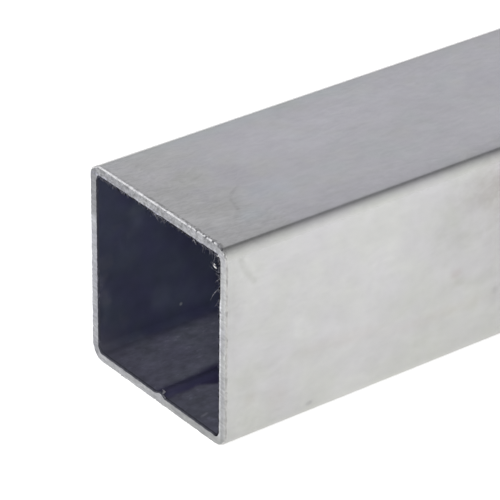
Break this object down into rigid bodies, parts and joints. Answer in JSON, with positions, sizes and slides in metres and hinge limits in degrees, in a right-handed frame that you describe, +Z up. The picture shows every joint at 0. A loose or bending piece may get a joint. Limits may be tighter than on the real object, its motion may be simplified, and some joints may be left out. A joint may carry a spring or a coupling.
{
  "type": "square steel post",
  "caption": "Straight length of thin-walled welded square steel tube, saw-cut and open at both ends, for posts, frames and brackets.",
  "frame": {"origin": "middle of the underside, half way along the tube", "axes": "+X along the tube, away from the pictured end; +Y across it, away from the side face that shows; +Z up"},
  "size_m": [1, 0.05, 0.05],
  "materials": {
    "steel": "bright cold-rolled skin with light scuffs, saw-cut ends, dark blue-grey scale inside"
  },
  "bodies": {
    "root": {"square_tube": "steel"}
  },
  "joints": []
}
